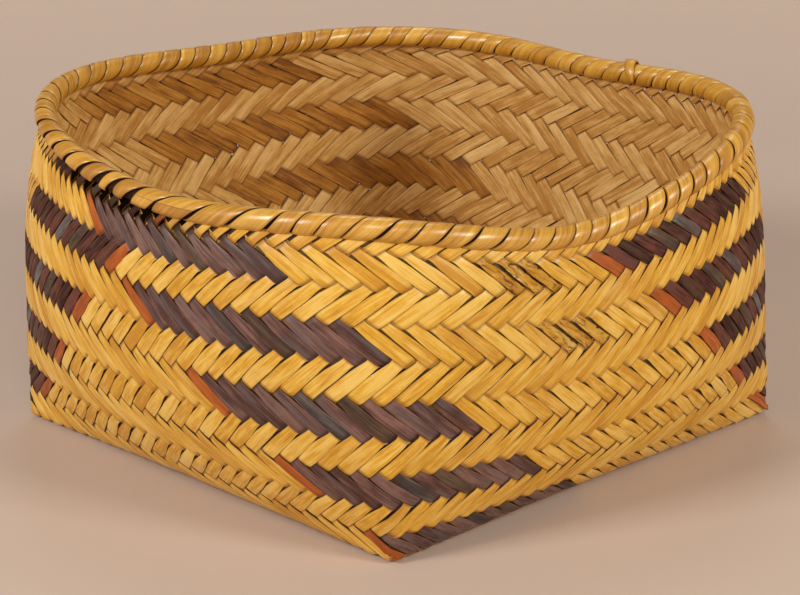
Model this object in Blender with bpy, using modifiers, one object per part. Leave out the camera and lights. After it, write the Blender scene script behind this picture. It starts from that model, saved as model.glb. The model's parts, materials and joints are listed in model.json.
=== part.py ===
"""A plaited cane basket: a square base, walls that rise and open into a rounded mouth, and a
rim of two hoops bound round with one flat strip of cane after another.

Metres, +Z up. The base sides lie along X and Y, and the origin is at the bottom, in the middle
of the whole. Bearings are in degrees, from +X towards +Y. A place round the basket is counted in
quarters, from the front corner (at +X, -Y) to the right one (at +X, +Y), the back and the left.
"""
import math

import bpy
import numpy as np
from mathutils import Vector

# The plaited mat
SPLINTS_PER_SIDE = 28
SPLINT_PITCH = 0.005  # from the middle of a splint to the middle of the next
SHEET_THICKNESS = 0.002  # one splint over another

# Bearing of each base corner, and its reach as a share of half the mat's diagonal
BASE_CORNER_SHARES = ((-46.1, 0.870), (45.6, 1.000), (135.0, 0.950), (225.7, 1.000))
FRONT_BEARING = -45.0

# The walls
WALL_HEIGHT = 0.1165  # from the base to the middle of the rim roll
FOLD_REACH = 0.0105  # how far from the base edge the rounding starts, at mid side
CORNER_FOLD_REACH = 0.0035
SPREAD_POWER = 2.7  # how early the wall leaves the square for the rounded mouth
BULGE_SHARE = 0.071
LIFT_SHARE = 0.021

# The weave in relief: ribs that lean one way for a band of rows and the other way for the next
WALL_ROWS = 38.7  # crossings from the base edge to the rim line
BAND_ROWS = 4
ROWS_PER_STEP = 2  # in which a rib goes one splint sideways
SPLINTS_PER_RIB = 2
RIB_DEPTH = 0.0008

# The mouth: each row is a number of waves round it, a share and the bearing of a crest
RIM_RADIUS = 0.1156
RIM_OUTLINE_SHARES = ((1, 0.033, -129.5), (2, 0.013, 47.8), (3, 0.039, 20.1), (4, 0.073, 42.0))
RIM_WAVE_SHARES = ((1, 0.028, 178.7), (2, 0.038, 55.0), (3, 0.028, 64.0), (4, 0.025, 39.2), (5, 0.010, 24.2))
RIM_LAG_SHARE = -0.035  # how far the mouth is turned against the base, in quarters

# The rim roll
HOOP_RADIUS = 0.00285  # of the pair of half-round hoops, laid back to back
HOOP_GAP = 0.0003
BINDER_THICKNESS = 0.0007
BINDER_WIDTH = 0.0084
TURN_GAP = 0.0009
SEAT_GAP = 0.0003
BINDER_LENGTHS = 4
STRIPS_PER_TURN = 2  # lengths of binder that go round side by side
BINDER_START_SHARE = 0.015  # where the first length starts, of the way round from the front corner
TURN_POINTS = 10
TURN_START = -115.0  # degrees up from straight out: the ends lie under the roll

# The short end of cane that is tucked over the roll
TUCK_WIDTH = 0.005
TUCK_THICKNESS = 0.0007
TUCK_LEAN = 0.006
TUCK_SHARE = 0.349
TUCK_START = 200.0
TUCK_END = -35.0

# The cut end of a dyed splint at the right corner
SPLICE_WIDTH = 0.004
SPLICE_THICKNESS = 0.0008
SPLICE_RISE = 0.0085
SPLICE_RUN = 0.0062
SPLICE_OVERHANG = 0.0022
SPLICE_FLOOR_GAP = 0.0012

# How finely the shapes are drawn
FOLD_RINGS = 2
HOOP_COLUMNS = 96
HOOP_ARC_POINTS = 6
RIM_SAMPLES = 720
WALL_SAMPLES = 41
TUCK_STEPS = 12
SMOOTH_ANGLE = 50.0

CANE = (0.72, 0.45, 0.11)
BINDER_CANE = (0.74, 0.44, 0.10)
HOOP_CANE = (0.30, 0.19, 0.10)
DYED_CANE = (0.50, 0.11, 0.02)

HALF_DIAGONAL = SPLINTS_PER_SIDE * SPLINT_PITCH
HALF_SHEET = SHEET_THICKNESS / 2
BINDER_RADIUS = (HOOP_RADIUS + SEAT_GAP) / math.cos(math.pi / TURN_POINTS)
ROLL_RADIUS = BINDER_RADIUS + BINDER_THICKNESS
RIBBED_ROWS = range(BAND_ROWS, int(WALL_ROWS / BAND_ROWS) * BAND_ROWS + 1, ROWS_PER_STEP)


def waves(rows, bearing):
    """The sum of the rows' waves at each bearing, in radians."""
    return sum(share * np.cos(n * (bearing - math.radians(crest))) for n, share, crest in rows)


def unit(vectors):
    """The same vectors at length 1."""
    return vectors / np.linalg.norm(vectors, axis=-1, keepdims=True)


class RimLine:
    """The middle of the rim roll, as a closed line whose places are lengths along it."""

    def __init__(self):
        bearing = math.radians(FRONT_BEARING) + np.linspace(0, 2 * math.pi, RIM_SAMPLES + 1)
        radius = RIM_RADIUS * (1 + waves(RIM_OUTLINE_SHARES, bearing))
        height = HALF_SHEET + WALL_HEIGHT * (1 + waves(RIM_WAVE_SHARES, bearing))
        self.points = np.stack([radius * np.cos(bearing), radius * np.sin(bearing), height], axis=1)
        steps = np.linalg.norm(np.diff(self.points, axis=0), axis=1)
        self.places = np.concatenate([[0], np.cumsum(steps)])
        self.length = self.places[-1]
        inner = self.points[:-1]
        tangents = unit(np.roll(inner, -1, axis=0) - np.roll(inner, 1, axis=0))
        self.tangents = np.vstack([tangents, tangents[:1]])

    def read(self, values, place):
        """The values at each place along the line."""
        place = np.mod(place, self.length)
        return np.stack([np.interp(place, self.places, column) for column in values.T], axis=-1)

    def at(self, place):
        """The point at each place along the line."""
        return self.read(self.points, place)

    def round_it(self, place, angle, radius):
        """Points at a radius round the line, at an angle up from straight out."""
        along = unit(self.read(self.tangents, place))
        out = unit(np.cross(along, (0, 0, 1)))
        up = np.cross(out, along)
        angle = np.asarray(angle)[..., None]
        radius = np.asarray(radius)[..., None]
        return self.at(place) + radius * (np.cos(angle) * out + np.sin(angle) * up)


def base_edge(quarter):
    """The point of the base's outline at a place round the basket."""
    corners = [Vector((HALF_DIAGONAL * share, 0, HALF_SHEET)) for _, share in BASE_CORNER_SHARES]
    for corner, (bearing, _) in zip(corners, BASE_CORNER_SHARES):
        corner.xy = (corner.x * math.cos(math.radians(bearing)), corner.x * math.sin(math.radians(bearing)))
    side = math.floor(quarter) % len(corners)
    return np.array(corners[side].lerp(corners[(side + 1) % len(corners)], quarter % 1))


def wall(rim, quarter, rise):
    """Points of the wall's middle, at shares of the way up from the base edge to the rim line."""
    edge = base_edge(quarter)
    top = rim.at(rim.length * (quarter + RIM_LAG_SHARE) / len(BASE_CORNER_SHARES))
    rise = np.atleast_1d(rise)[:, None]
    blend = 1 - (1 - rise) ** SPREAD_POWER
    bulge = 1 + 4 * BULGE_SHARE * rise * (1 - rise)
    plan = ((1 - blend) * edge[:2] + blend * top[:2]) * bulge
    lifted = rise - LIFT_SHARE * np.sin(2 * math.pi * rise)
    height = edge[2] + (top[2] - edge[2]) * lifted
    return np.hstack([plan, height])


def wall_line(rim, quarter):
    """A whole line up the wall: its points, and their lengths up it."""
    points = wall(rim, quarter, np.linspace(0, 1, WALL_SAMPLES))
    steps = np.linalg.norm(np.diff(points, axis=0), axis=1)
    return points, np.concatenate([[0], np.cumsum(steps)])


def at_length(points, lengths, length):
    """The point at a length along a line."""
    return np.array([np.interp(length, lengths, column) for column in points.T])


def rib_point(rim, number, row):
    """The middle surface at a column and a row: high along a rib and low between two."""
    quarters = (number + np.arange(-1, 2)) / SPLINTS_PER_SIDE
    behind, here, ahead = [wall(rim, quarter, row / WALL_ROWS)[0] for quarter in quarters]
    out = unit(np.cross(ahead - behind, (0, 0, 1)))
    on_rib = (number + row // ROWS_PER_STEP) % SPLINTS_PER_RIB == 0
    return here + out * RIB_DEPTH * (0.5 if on_rib else -0.5)


def body_column(rim, number):
    """One line of the basket's middle surface, from the flat of the base to the top edge."""
    points, lengths = wall_line(rim, number / SPLINTS_PER_SIDE)
    edge = points[0]
    to_corner = abs(2 * (number / SPLINTS_PER_SIDE % 1) - 1)
    reach = FOLD_REACH + (CORNER_FOLD_REACH - FOLD_REACH) * math.sin(math.pi / 2 * to_corner) ** 2
    half_side = HALF_DIAGONAL / math.sqrt(2)
    inside = edge * (1 - reach / half_side, 1 - reach / half_side, 1)
    outside = at_length(points, lengths, reach)
    column = [inside]
    for t in np.linspace(0, 1, FOLD_RINGS + 2)[1:]:
        column.append((1 - t) ** 2 * inside + 2 * t * (1 - t) * edge + t * t * outside)
    for row in RIBBED_ROWS:
        column.append(rib_point(rim, number, row))
    column.append(at_length(points, lengths, lengths[-1] - ROLL_RADIUS - SEAT_GAP))
    return column


def new_material(name, colour, roughness):
    """A plain material with one colour."""
    material = bpy.data.materials.new(name)
    material.use_nodes = True
    shader = material.node_tree.nodes["Principled BSDF"]
    shader.inputs["Base Color"].default_value = (*colour, 1)
    shader.inputs["Roughness"].default_value = roughness
    shader.inputs["Metallic"].default_value = 0
    material.diffuse_color = (*colour, 1)
    return material


def new_object(name, points, faces, material, root):
    """A smooth mesh object under the root."""
    mesh = bpy.data.meshes.new(name)
    mesh.from_pydata([tuple(map(float, p)) for p in points], [], faces)
    mesh.materials.append(material)
    mesh.shade_smooth()
    mesh.set_sharp_from_angle(angle=math.radians(SMOOTH_ANGLE))
    piece = bpy.data.objects.new(name, mesh)
    root.users_collection[0].objects.link(piece)
    piece.parent = root
    return piece


def sweep_faces(sections, points, closed):
    """The faces of a bar with that many sections, each of that many points."""
    faces = []
    for i in range(sections if closed else sections - 1):
        a, b = i * points, (i + 1) % sections * points
        for j in range(points):
            k = (j + 1) % points
            faces.append((a + j, b + j, b + k, a + k))
    if not closed:
        faces.append(tuple(range(points)))
        faces.append(tuple(reversed(range((sections - 1) * points, sections * points))))
    return faces


def wall_patch(corners, row):
    """The faces of one patch of the sheet: where it has ribs, two that part along them."""
    if row not in RIBBED_ROWS[:-1]:
        return [corners]
    a, b, c, d = corners
    if row // BAND_ROWS % 2:
        return [(a, b, c), (a, c, d)]
    return [(a, b, d), (b, c, d)]


def make_body(rim, root):
    """The plaited sheet: base and walls in one, open at the top, with the weave's ribs."""
    count = SPLINTS_PER_SIDE * len(BASE_CORNER_SHARES)
    columns = [body_column(rim, number) for number in range(count)]
    rings = len(columns[0])
    first = rings - 1 - len(RIBBED_ROWS)
    points = [np.array((0, 0, HALF_SHEET))]
    points += [point for column in columns for point in column]
    faces = []
    for i in range(count):
        a, b = 1 + i * rings, 1 + (i + 1) % count * rings
        faces.append((0, a, b))
        for j in range(rings - 1):
            row = BAND_ROWS + (j - first) * ROWS_PER_STEP
            faces += wall_patch((a + j, a + j + 1, b + j + 1, b + j), row)
    body = new_object("plaited_body", points, faces, new_material("cane", CANE, 0.5), root)
    sheet = body.modifiers.new("Sheet", "SOLIDIFY")
    sheet.thickness = SHEET_THICKNESS
    sheet.offset = 0
    sheet.use_even_offset = True
    return body


def make_hoop(rim, side, name, material, root):
    """One half-round hoop, flat side to its twin: side is 1 for the outer and -1 for the inner."""
    flat = HOOP_GAP / 2
    arc = np.linspace(-math.pi / 2, math.pi / 2, HOOP_ARC_POINTS)[::side]
    across = side * (flat + (HOOP_RADIUS - flat) * np.cos(arc))
    up = HOOP_RADIUS * np.sin(arc)
    angle, radius = np.arctan2(up, across), np.hypot(across, up)
    points = []
    for place in np.linspace(0, rim.length, HOOP_COLUMNS, endpoint=False):
        points += list(rim.round_it(np.full(HOOP_ARC_POINTS, place), angle, radius))
    return new_object(name, points, sweep_faces(HOOP_COLUMNS, HOOP_ARC_POINTS, True), material, root)


def binder_section(rim, place, angle, width, inner, outer):
    """The four corners of the binder's section where its middle is at a place and an angle."""
    places = place + np.array((-0.5, 0.5, 0.5, -0.5)) * width
    return rim.round_it(places, np.full(4, angle), np.array((inner, inner, outer, outer)))


def binder_turns(rim):
    """How many turns each length makes, and how far along the rim each goes."""
    stretch = rim.length * STRIPS_PER_TURN / BINDER_LENGTHS
    turns = int(stretch / STRIPS_PER_TURN / (BINDER_WIDTH + TURN_GAP))
    return turns, stretch / turns


def binder_path(rim, index, steps):
    """Places and angles along one length of binder."""
    turns, pitch = binder_turns(rim)
    end = turns - SEAT_GAP / (2 * math.pi * ROLL_RADIUS)
    turn = np.linspace(0, end, steps + 1)
    stretch, beside = divmod(index, STRIPS_PER_TURN)
    start = rim.length * BINDER_START_SHARE + (stretch * turns + beside / STRIPS_PER_TURN) * pitch
    return start + turn * pitch, math.radians(TURN_START) + turn * 2 * math.pi


def make_binder(rim, index, material, root):
    """One unbroken length of flat cane, wound round the hoops."""
    turns, _ = binder_turns(rim)
    places, angles = binder_path(rim, index, turns * TURN_POINTS)
    points = []
    for place, angle in zip(places, angles):
        points += list(binder_section(rim, place, angle, BINDER_WIDTH, BINDER_RADIUS, ROLL_RADIUS))
    faces = sweep_faces(len(places), 4, False)
    return new_object(f"rim_binder_{index + 1}", points, faces, material, root)


def least_gap(rim, index, apart):
    """The least gap from a length to a turn that starts that far further on, measured on points."""
    turns, pitch = binder_turns(rim)
    per_turn = 8 * TURN_POINTS
    reach = per_turn // 4
    places, angles = binder_path(rim, index, turns * per_turn)
    gaps = []
    for radius in (BINDER_RADIUS, ROLL_RADIUS):
        ahead = rim.round_it(places + BINDER_WIDTH / 2, angles, np.full(len(places), radius))
        behind = rim.round_it(places + apart * pitch - BINDER_WIDTH / 2, angles, np.full(len(places), radius))
        middle = ahead[reach : len(places) - reach]
        for start in range(2 * reach + 1):
            gaps.append(np.linalg.norm(behind[start : start + len(middle)] - middle, axis=1).min())
    return min(gaps)


def make_tuck(rim, material, root):
    """A short end of cane over the roll, leaning across the turns, its tips drawn in."""
    seat = (ROLL_RADIUS + SEAT_GAP) / math.cos(math.radians(TUCK_START - TUCK_END) / TUCK_STEPS / 2)
    points = []
    for i in range(TUCK_STEPS + 1):
        t = i / TUCK_STEPS
        angle = math.radians(TUCK_START + (TUCK_END - TUCK_START) * t)
        place = rim.length * TUCK_SHARE + TUCK_LEAN * (t - 0.5)
        width = TUCK_WIDTH * (0.4 + 0.6 * math.sin(math.pi * t))
        points += list(binder_section(rim, place, angle, width, seat, seat + TUCK_THICKNESS))
    faces = [tuple(reversed(face)) for face in sweep_faces(TUCK_STEPS + 1, 4, False)]
    return new_object("binder_tuck", points, faces, material, root)


def make_splice(rim, root):
    """The cut end of a splint: a short flat bar down the right corner, standing off at its foot."""
    corner = base_edge(1)
    out = unit(np.array((corner[0], corner[1], 0)))
    side = np.array((out[1], -out[0], 0))
    points, lengths = wall_line(rim, 1)
    lift = HALF_SHEET + SEAT_GAP + SPLICE_THICKNESS / 2
    foot_height = SPLICE_FLOOR_GAP + SPLICE_WIDTH / 2
    foot = corner + out * (lift + SPLICE_OVERHANG) + (0, 0, foot_height - corner[2])
    bend = at_length(points, lengths, foot_height + SPLICE_OVERHANG) + out * (lift + SEAT_GAP)
    head = at_length(points, lengths, foot_height + SPLICE_RISE) + out * lift + side * SPLICE_RUN
    along = unit(foot - head)
    across = unit(np.cross(along, out))
    section = ((-0.5, -0.5), (0.5, -0.5), (0.5, 0.5), (-0.5, 0.5))
    corners = []
    for centre in (head, bend, foot):
        for a, b in section:
            corners.append(centre + across * a * SPLICE_WIDTH + out * b * SPLICE_THICKNESS)
    material = new_material("dyed_cane", DYED_CANE, 0.5)
    return new_object("splice_end", corners, sweep_faces(3, 4, False), material, root)


def stand_on_origin(root):
    """Moves the root so that the middle of the whole, seen from above, is at the origin."""
    bpy.context.view_layer.update()
    graph = bpy.context.evaluated_depsgraph_get()
    corners = [
        piece.matrix_world @ Vector(corner)
        for piece in root.children
        for corner in piece.evaluated_get(graph).bound_box
    ]
    for axis in (0, 1):
        low = min(corner[axis] for corner in corners)
        high = max(corner[axis] for corner in corners)
        root.location[axis] = -(low + high) / 2
    bpy.context.view_layer.update()


def main():
    """Makes the basket."""
    for item in list(bpy.data.objects):
        bpy.data.objects.remove(item)
    collection = bpy.data.collections.new("basket")
    bpy.context.scene.collection.children.link(collection)
    root = bpy.data.objects.new("basket_origin", None)
    collection.objects.link(root)
    rim = RimLine()
    make_body(rim, root)
    hoop_cane = new_material("hoop_cane", HOOP_CANE, 0.7)
    make_hoop(rim, 1, "rim_hoop_outer", hoop_cane, root)
    make_hoop(rim, -1, "rim_hoop_inner", hoop_cane, root)
    binder_cane = new_material("binder_cane", BINDER_CANE, 0.35)
    for index in range(BINDER_LENGTHS):
        make_binder(rim, index, binder_cane, root)
        itself, other = [least_gap(rim, index, apart) * 1000 for apart in (1, 1 / STRIPS_PER_TURN)]
        print(f"rim_binder_{index + 1}: least gap to itself {itself:.2f} mm, to the next {other:.2f} mm")
    make_tuck(rim, binder_cane, root)
    make_splice(rim, root)
    stand_on_origin(root)
    print("root moved to", [round(value, 5) for value in root.location])


main()
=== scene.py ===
"""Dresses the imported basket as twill-plaited split cane, one ribbon for each splint.

The basket is worked out corner-on, as it was plaited: x runs along one diagonal of the mat and y
along the other, both counted in splints. BasketShape lays that mat over the base and up the walls,
turns it so that the base sides lie along X and Y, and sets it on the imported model's origin.
"""
from __future__ import annotations

import json
import logging
import math
from dataclasses import dataclass
from enum import Enum

import bpy
import numpy as np
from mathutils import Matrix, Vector

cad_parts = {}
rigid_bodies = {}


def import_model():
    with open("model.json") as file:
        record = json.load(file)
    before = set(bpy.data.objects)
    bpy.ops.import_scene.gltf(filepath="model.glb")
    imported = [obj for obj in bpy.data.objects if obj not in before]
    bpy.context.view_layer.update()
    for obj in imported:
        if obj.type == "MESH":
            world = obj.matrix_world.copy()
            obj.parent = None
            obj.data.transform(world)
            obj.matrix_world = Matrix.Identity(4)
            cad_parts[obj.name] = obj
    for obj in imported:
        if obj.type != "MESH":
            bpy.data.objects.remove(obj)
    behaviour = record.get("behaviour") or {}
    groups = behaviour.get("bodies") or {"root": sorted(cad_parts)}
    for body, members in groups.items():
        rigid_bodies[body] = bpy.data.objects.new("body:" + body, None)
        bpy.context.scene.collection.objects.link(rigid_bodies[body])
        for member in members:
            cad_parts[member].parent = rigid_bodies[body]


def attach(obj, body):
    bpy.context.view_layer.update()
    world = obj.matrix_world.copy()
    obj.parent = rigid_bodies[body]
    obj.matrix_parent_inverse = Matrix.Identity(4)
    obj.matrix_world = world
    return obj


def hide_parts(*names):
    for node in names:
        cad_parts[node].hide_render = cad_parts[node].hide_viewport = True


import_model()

LOG = logging.getLogger("basket")
MM = 0.001

Colour = tuple[float, float, float]
Rgb = tuple[int, int, int]
Scale = tuple[float, float, float]
Span = tuple[float, float]
Socket = bpy.types.NodeSocket


def srgb(red: int, green: int, blue: int) -> Colour:
    """Turns a colour as seen on screen, in parts of 255, into the linear values that shaders take."""
    shares = (red / 255, green / 255, blue / 255)
    return tuple(c / 12.92 if c <= 0.04045 else ((c + 0.055) / 1.055) ** 2.4 for c in shares)


def unit(vectors: np.ndarray) -> np.ndarray:
    """Scales vectors to length 1."""
    return vectors / np.maximum(np.linalg.norm(vectors, axis=-1, keepdims=True), 1e-12)


def smooth_step(values: np.ndarray, start: float = 0.0, taken: float = 1.0) -> np.ndarray:
    """Eases values from 0 at a start to 1 at so far past it, held at both ends."""
    t = np.clip((values - start) / taken, 0, 1)
    return t * t * (3 - 2 * t)


def between(place: np.ndarray, places: np.ndarray, rows: np.ndarray) -> np.ndarray:
    """Reads rows of values, which lie at places along a line, at each place between them."""
    return np.stack([np.interp(place, places, column) for column in rows.T], axis=-1)


def soften(points: np.ndarray, spread: float) -> np.ndarray:
    """Rounds a line's corners by averaging each point with its neighbours.

    Args:
        points: The line's points, one to a row.
        spread: The width of the average, in points.

    Returns:
        The softened points, as many as before.
    """
    reach = int(math.ceil(3 * spread))
    weights = np.exp(-0.5 * (np.arange(-reach, reach + 1) / spread) ** 2)
    weights /= weights.sum()
    start = 2 * points[0] - points[reach:0:-1]
    end = 2 * points[-1] - points[-2 : -reach - 2 : -1]
    padded = np.vstack([start, points, end])
    return np.stack([np.convolve(column, weights, "valid") for column in padded.T], axis=1)


class Direction(Enum):
    """The two sets of splints: along the mat's y, or along its x."""

    ALONG_Y = "y"
    ALONG_X = "x"


class Dye(Enum):
    """What a splint was dyed with."""

    NATURAL = "natural"
    PURPLE = "purple"
    DEEP_PURPLE = "deep purple"
    GREY = "grey"
    OLIVE = "olive"
    ORANGE = "orange"


@dataclass(frozen=True)
class BasketShape:
    """The middle surface of the plaited sheet, and the line in the middle of the rim roll.

    Corners are shares of half the mat's diagonal. Waves are rows of a count round the mouth, a
    share and the bearing of a crest, in degrees from the right corner towards the back. The lag
    turns the mouth, in quarters. The spread says how soon a wall takes on the mouth's outline, the
    lift and the bulge bunch and swell it at mid height, and the drift makes its columns lean.
    """

    half_diagonal: float = 0.140
    side: float = 28.0
    fold: float = 27.5
    rows: float = 38.7
    sheet: float = 0.002
    front: tuple[float, float] = (-0.016, -0.870)
    right: tuple[float, float] = (1.000, 0.011)
    back: tuple[float, float] = (0.000, 0.950)
    left: tuple[float, float] = (-1.000, -0.013)
    height: float = 0.1165
    rim_radius: float = 0.1156
    outline: tuple = ((1, 0.033, -174.5), (2, 0.013, 2.8), (3, 0.039, -24.9), (4, 0.073, -3.0))
    wave: tuple = ((1, 0.028, 133.7), (2, 0.038, 10.0), (3, 0.028, 19.0), (4, 0.025, -5.8), (5, 0.010, -20.8))
    lag: float = -0.035
    spread: float = 2.7
    lift: float = 0.021
    bulge: float = 0.071
    drift: tuple[float, float, float, float] = (-0.138, -0.023, 0.144, -0.010)
    origin_shift: tuple[float, float] = (-0.00109, 0.00418)
    samples: int = 1440
    slip_rows: float = 4.0  # from a splint's place on the base edge to its place on the wall
    highest: float = 1.2

    def _waves(self, rows: tuple, bearing: np.ndarray) -> np.ndarray:
        """Adds up the rows' waves at each bearing, in radians."""
        return sum(share * np.cos(n * (bearing - math.radians(crest))) for n, share, crest in rows)

    def mouth(self) -> tuple[np.ndarray, np.ndarray]:
        """Traces the rim line from the front corner round to it again, corner-on.

        Returns:
            The points, and the share of the way round at each.
        """
        bearing = np.linspace(-math.pi / 2, 1.5 * math.pi, self.samples + 1)
        radius = self.rim_radius * (1 + self._waves(self.outline, bearing))
        height = self.height * (1 + self._waves(self.wave, bearing))
        points = np.stack([radius * np.cos(bearing), radius * np.sin(bearing), height], axis=1)
        steps = np.linalg.norm(np.diff(points[:, :2], axis=0), axis=1)
        way = np.concatenate([[0], np.cumsum(steps)])
        return points, way / way[-1]

    def wall(self, quarter: np.ndarray, rise: np.ndarray) -> np.ndarray:
        """Finds points of the wall, corner-on.

        Args:
            quarter: Places round the basket, in quarters from the front corner by the right one.
            rise: Shares of the way up, from the base edge to the rim line.

        Returns:
            One point to a row.
        """
        mouth, way = self.mouth()
        turn = quarter * math.pi / 2
        terms = (np.sin(turn), np.cos(turn), np.sin(2 * turn), np.cos(2 * turn))
        quarter = quarter + rise * sum(share * term for share, term in zip(self.drift, terms))
        share = np.mod((quarter + self.lag) / 4, 1)
        top = between(share, way, mouth)
        corners = np.array((self.front, self.right, self.back, self.left, self.front)) * self.half_diagonal
        foot = between(np.mod(quarter, 4), np.arange(5), corners)
        blend = (1 - (1 - np.clip(rise, 0, 1)) ** self.spread)[..., None]
        swell = (1 + 4 * self.bulge * rise * (1 - rise))[..., None]
        plan = ((1 - blend) * foot + blend * top[..., :2]) * swell
        lifted = (rise - self.lift * np.sin(2 * math.pi * rise))[..., None]
        return np.concatenate([plan, top[..., 2:] * lifted], axis=-1)

    def base(self, x: np.ndarray, y: np.ndarray) -> np.ndarray:
        """Finds points of the base, corner-on.

        Args:
            x: Places along the mat's x, in splints.
            y: Places along its y.

        Returns:
            One point to a row.
        """
        across = np.where((x > 0)[..., None], self.right, self.left) * (np.abs(x) / self.fold)[..., None]
        along = np.where((y > 0)[..., None], self.back, self.front) * (np.abs(y) / self.fold)[..., None]
        plan = (across + along) * self.half_diagonal
        return np.concatenate([plan, np.zeros_like(plan[..., :1])], axis=-1)

    def lay(self, direction: Direction, place: float, run: np.ndarray) -> np.ndarray:
        """Lays a line of the mat over the base and up two walls, with sharp folds.

        Args:
            direction: The set of splints that the line runs with.
            place: How far the line lies from the mat's middle, in splints.
            run: Places along the line from its middle, in splints.

        Returns:
            One corner-on point for each place.
        """
        along_y = direction is Direction.ALONG_Y
        near, low, high = (run < 0, 0, 2) if along_y else (run > 0, 1, -1)
        start, foot = (np.where(near, low + place / c, high - place / c) for c in (self.side, self.fold))
        still = np.full_like(run, place)
        x, y = (still, run) if along_y else (run, still)
        rows = np.abs(x) + np.abs(y) - self.side
        leans_back = (x * y < 0) if along_y else (x * y > 0)
        sense = np.where(leans_back, -1.0, 1.0) / 2 / self.side
        quarter = start + sense * rows
        slip = foot - start - sense * (self.fold - self.side)
        fade = np.clip(1 - (rows - (self.fold - self.side)) / self.slip_rows, 0, 1) ** 2
        rise = (rows + self.side - self.fold) / self.rows
        walls = self.wall(quarter + slip * fade, np.clip(rise, 0, self.highest))
        return np.where((rise > 0)[..., None], walls, self.base(x, y))

    def set_down(self, points: np.ndarray) -> np.ndarray:
        """Turns corner-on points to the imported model's frame and sets them on its origin.

        Args:
            points: The points, one to a row.

        Returns:
            The points in that frame.
        """
        c = math.sqrt(0.5)
        x = c * (points[..., 0] - points[..., 1]) + self.origin_shift[0]
        y = c * (points[..., 0] + points[..., 1]) + self.origin_shift[1]
        return np.stack([x, y, points[..., 2] + self.sheet / 2], axis=-1)


class RimLine:
    """The middle of the rim roll as a closed line, read by the length from the front corner."""

    def __init__(self, shape: BasketShape) -> None:
        """Traces the line once.

        Args:
            shape: The basket's shape.
        """
        quarter = np.linspace(0, 4, shape.samples + 1)
        points = shape.set_down(shape.wall(quarter, np.ones_like(quarter)))
        steps = np.linalg.norm(np.diff(points, axis=0), axis=1)
        self.points = points
        self.places = np.concatenate([[0], np.cumsum(steps)])
        self.length = float(self.places[-1])
        ring = points[:-1]
        along = unit(np.roll(ring, -1, axis=0) - np.roll(ring, 1, axis=0))
        self.along = np.vstack([along, along[:1]])

    def _read(self, values: np.ndarray, place: np.ndarray) -> np.ndarray:
        """Reads values at each place along the line."""
        return between(np.mod(place, self.length), self.places, values)

    def round_it(self, place: np.ndarray, angle: np.ndarray, radius: np.ndarray) -> np.ndarray:
        """Finds points round the line.

        Args:
            place: Lengths along the line.
            angle: Angles up from straight out, in radians.
            radius: Distances from the line.

        Returns:
            One point for each.
        """
        place, angle, radius = np.broadcast_arrays(place, angle, radius)
        along = unit(self._read(self.along, place))
        out = unit(np.cross(along, (0.0, 0.0, 1.0)))
        up = np.cross(out, along)
        turn = np.cos(angle)[..., None] * out + np.sin(angle)[..., None] * up
        return self._read(self.points, place) + radius[..., None] * turn


def stacked(grid: tuple[int, ...], *parts: object) -> np.ndarray:
    """Spreads each part over a grid of points, and stacks them to one vector for each point."""
    return np.stack([np.broadcast_to(part, grid) for part in parts], axis=-1)


def ring_quads(spans: int, rings: int, points: int) -> list[list[int]]:
    """Lists the corners of the faces from each of the first rings of points to the next.

    Args:
        spans: How many rings have faces to the next.
        rings: How many rings there are.
        points: How many points each has.

    Returns:
        Four point numbers for each face.
    """
    i, a = np.arange(spans)[:, None] * points, np.arange(points)
    j, b = (i + points) % (rings * points), (a + 1) % points
    return np.stack([i + a, j + a, j + b, i + b], axis=-1).reshape(-1, 4).tolist()


@dataclass
class Bar:
    """A bar's rings of points, with what its finish reads at each point."""

    rings: np.ndarray
    grain: np.ndarray
    shade: np.ndarray
    slots: np.ndarray
    closed: bool = False

    def build(self, name: str, materials: list[bpy.types.Material], sharp: float = 35.0) -> bpy.types.Object:
        """Makes the bar as a mesh object that rides on the root body.

        Args:
            name: The piece's name.
            materials: Its materials, numbered by slots.
            sharp: The angle past which an edge is drawn sharp, in degrees.

        Returns:
            The new object.
        """
        count, points = self.rings.shape[:2]
        spans = count if self.closed else count - 1
        ends = [] if self.closed else [[*range(points)], [*range(count * points - 1, spans * points - 1, -1)]]
        mesh = bpy.data.meshes.new(name)
        mesh.from_pydata(self.rings.reshape(-1, 3).tolist(), [], ring_quads(spans, count, points) + ends)
        picked = np.concatenate([np.tile(self.slots, spans), np.full(len(ends), self.slots.max())])
        mesh.polygons.foreach_set("material_index", picked.astype(np.int32))
        for label, values in (("grain", self.grain), ("shade", self.shade)):
            layer = mesh.attributes.new(label, "FLOAT_VECTOR", "POINT")
            layer.data.foreach_set("vector", values.reshape(-1).astype(np.float32))
        for material in materials:
            mesh.materials.append(material)
        mesh.shade_smooth()
        mesh.set_sharp_from_angle(angle=math.radians(sharp))
        piece = bpy.data.objects.new(name, mesh)
        bpy.context.scene.collection.objects.link(piece)
        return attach(piece, "root")


def plain_bar(rings: np.ndarray, across: object, grain: tuple, closed: bool = False) -> Bar:
    """Makes a bar of one finish that lies outside all along and has no creases."""
    grid = rings.shape[:2]
    return Bar(rings, stacked(grid, *grain), stacked(grid, across, 1.0, 0.0), np.zeros(grid[1], int), closed)


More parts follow.
